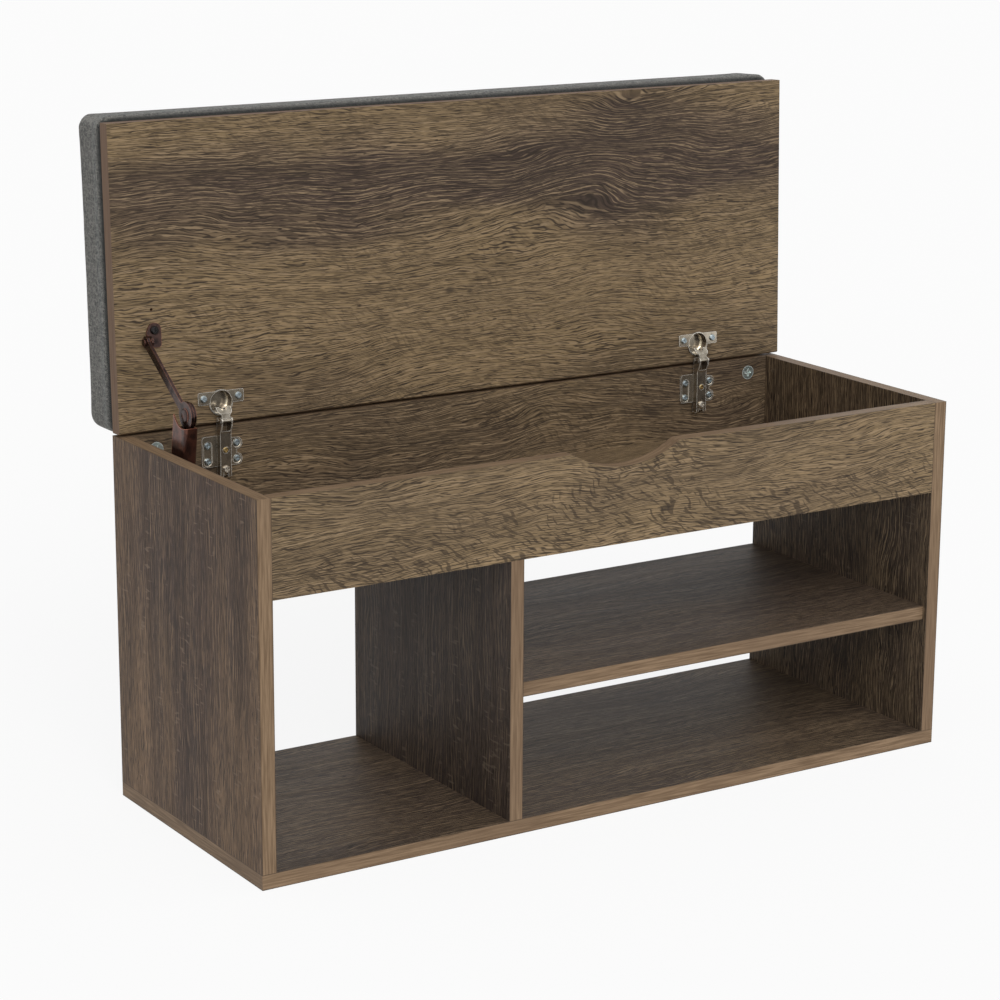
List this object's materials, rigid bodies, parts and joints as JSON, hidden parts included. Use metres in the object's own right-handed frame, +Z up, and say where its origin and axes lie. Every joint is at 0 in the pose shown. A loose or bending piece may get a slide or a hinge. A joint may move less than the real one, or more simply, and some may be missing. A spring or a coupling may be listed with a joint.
{
  "type": "storage bench",
  "caption": "Low storage bench with a lift-up padded seat on concealed hinges and a folding lid stay, a shallow box under the seat, and open shoe bays below",
  "frame": {"origin": "on the floor, under the centre of the carcass", "axes": "+X to the right of someone facing the front, along the length; +Y to the rear, towards the hinges; +Z up. The front is the -Y side. The seat is modelled open, on its stop"},
  "size_m": [0.804, 0.3679, 0.6759],
  "materials": {
    "oak_board": "dark weathered oak laminate, satin",
    "linen": "grey coarse linen weave",
    "foam": "soft open-cell foam",
    "plywood": "unfinished ply",
    "nickel_steel": "bright nickel plate",
    "zinc_steel": "bluish zinc plate",
    "gold_zinc": "yellow zinc plate",
    "bronze_steel": "dark antique copper, satin",
    "black_steel": "black zinc, satin"
  },
  "bodies": {
    "carcass": {"base_panel": "oak_board", "left_side_panel": "oak_board", "right_side_panel": "oak_board", "divider_panel": "oak_board", "shelf_panel": "oak_board", "box_floor_panel": "oak_board", "front_apron_panel": "oak_board", "back_rail_panel": "oak_board", "cam_front_left": "zinc_steel", "cam_bolt_front_left": "zinc_steel", "cam_front_right": "zinc_steel", "cam_bolt_front_right": "zinc_steel", "cam_rear_left": "zinc_steel", "cam_bolt_rear_left": "zinc_steel", "cam_rear_right": "zinc_steel", "cam_bolt_rear_right": "zinc_steel", "hinge_plate_left": "nickel_steel", "hinge_arm_left": "nickel_steel", "hinge_adjusting_screw_left": "gold_zinc", "hinge_fixing_screw_left": "zinc_steel", "plate_screw_left_outer_low": "zinc_steel", "plate_screw_left_outer_high": "zinc_steel", "plate_screw_left_inner_low": "zinc_steel", "plate_screw_left_inner_high": "zinc_steel", "hinge_plate_right": "nickel_steel", "hinge_arm_right": "nickel_steel", "hinge_adjusting_screw_right": "gold_zinc", "hinge_fixing_screw_right": "zinc_steel", "plate_screw_right_outer_low": "zinc_steel", "plate_screw_right_outer_high": "zinc_steel", "plate_screw_right_inner_low": "zinc_steel", "plate_screw_right_inner_high": "zinc_steel", "stay_side_plate": "bronze_steel", "stay_side_screw_low": "black_steel", "stay_side_screw_high": "black_steel", "stay_pivot_stud": "bronze_steel"},
    "lid": {"lid_board": "oak_board", "cushion_base_board": "plywood", "cushion_foam": "foam", "cushion_cover": "linen", "cup_screw_left_outer": "zinc_steel", "cup_screw_left_inner": "zinc_steel", "hinge_cup_left": "nickel_steel", "cup_screw_right_outer": "zinc_steel", "cup_screw_right_inner": "zinc_steel", "hinge_cup_right": "nickel_steel", "stay_lid_bracket": "bronze_steel", "stay_lid_screw": "black_steel"},
    "outer_link_left": {"hinge_outer_link_left": "nickel_steel"},
    "inner_link_left": {"hinge_inner_link_left": "nickel_steel"},
    "outer_link_right": {"hinge_outer_link_right": "nickel_steel"},
    "inner_link_right": {"hinge_inner_link_right": "nickel_steel"},
    "stay_body": {"stay_housing": "bronze_steel", "stay_link": "bronze_steel", "stay_damper": "black_steel", "stay_elbow_rivet": "bronze_steel"},
    "stay_arm": {"stay_arm": "bronze_steel"}
  },
  "joints": [
    {"name": "lid_hinge", "type": "hinge", "parent": "carcass", "child": "lid", "pos_m": [0, 0.14215, 0.3806], "axis": [1, 0, 0], "range_deg": [0, 91.9]},
    {"name": "outer_link_left_pivot", "type": "hinge", "parent": "carcass", "child": "outer_link_left", "pos_m": [-0.29, 0.1235, 0.377], "axis": [1, 0, 0], "range_deg": [-46.5, 0]},
    {"name": "inner_link_left_pivot", "type": "hinge", "parent": "carcass", "child": "inner_link_left", "pos_m": [-0.29, 0.1297, 0.377], "axis": [1, 0, 0], "range_deg": [-61.2, 0]},
    {"name": "outer_link_right_pivot", "type": "hinge", "parent": "carcass", "child": "outer_link_right", "pos_m": [0.29, 0.1235, 0.377], "axis": [1, 0, 0], "range_deg": [-46.5, 0]},
    {"name": "inner_link_right_pivot", "type": "hinge", "parent": "carcass", "child": "inner_link_right", "pos_m": [0.29, 0.1297, 0.377], "axis": [1, 0, 0], "range_deg": [-61.2, 0]},
    {"name": "stay_body_pivot", "type": "hinge", "parent": "carcass", "child": "stay_body", "pos_m": [-0.371, 0.05859, 0.32457], "axis": [1, 0, 0], "range_deg": [0, 91.9]},
    {"name": "stay_elbow_pivot", "type": "hinge", "parent": "stay_body", "child": "stay_arm", "pos_m": [-0.371, 0.0454, 0.4064], "axis": [1, 0, 0], "range_deg": [-91.9, 0]}
  ],
  "couplings": [
    {"joint": "outer_link_left_pivot", "follows": "lid_hinge", "ratio": -0.5043},
    {"joint": "inner_link_left_pivot", "follows": "lid_hinge", "ratio": -0.6638},
    {"joint": "outer_link_right_pivot", "follows": "lid_hinge", "ratio": -0.5043},
    {"joint": "inner_link_right_pivot", "follows": "lid_hinge", "ratio": -0.6638},
    {"joint": "stay_body_pivot", "follows": "lid_hinge", "ratio": 1},
    {"joint": "stay_elbow_pivot", "follows": "lid_hinge", "ratio": -1}
  ]
}
